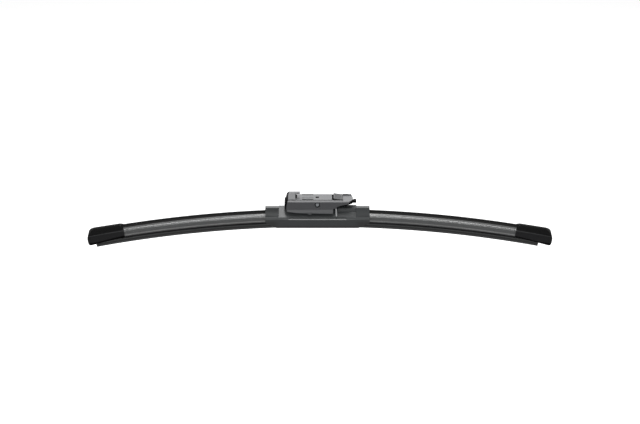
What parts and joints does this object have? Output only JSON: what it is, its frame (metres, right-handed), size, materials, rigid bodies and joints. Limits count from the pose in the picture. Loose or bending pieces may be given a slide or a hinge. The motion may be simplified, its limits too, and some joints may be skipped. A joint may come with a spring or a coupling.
{
  "type": "flat wiper blade",
  "caption": "Bowed flat wiper blade: rubber strip, wind deflectors, end caps and a connector whose clip-on arm adapter rocks on a pin and has a release button.",
  "frame": {"origin": "middle of the pivot pin, in the blade's middle plane", "axes": "+X along the blade towards the release button, +Y across it, +Z away from the glass"},
  "size_m": [0.4712, 0.0212, 0.0596],
  "materials": {
    "rubber": "matt moulded and cut rubber",
    "spring_steel": "rolled strip",
    "deflector": "satin extruded plastic with a soft matt crest",
    "end_cap": "fine matt moulding",
    "plated_steel": "zinc plated",
    "cover": "satin moulding",
    "adapter": "grey satin moulding",
    "core": "black satin moulding",
    "button": "ribbed grey moulding"
  },
  "bodies": {
    "adapter": {"adapter_housing": "adapter", "adapter_core": "core", "button_spring": "spring_steel"},
    "blade": {"wiper_strip": "rubber", "spring_rail_front": "spring_steel", "spring_rail_rear": "spring_steel", "spoiler_left": "deflector", "spoiler_right": "deflector", "end_cap_left": "end_cap", "end_cap_right": "end_cap", "connector_bracket": "plated_steel", "connector_cover": "cover", "pivot_pin": "plated_steel"},
    "button": {"release_button": "button"}
  },
  "joints": [
    {"name": "adapter_pivot", "type": "hinge", "parent": "adapter", "child": "blade", "pos_m": [0, 0, 0], "axis": [0, 1, 0], "range_deg": [-5, 5]},
    {"name": "button_press", "type": "hinge", "parent": "adapter", "child": "button", "pos_m": [0.027, 0, 0.00035], "axis": [0, -1, 0], "range_deg": [0, 10], "stiffness_Nm_per_rad": 0.45, "deforming": ["button_spring"]}
  ]
}
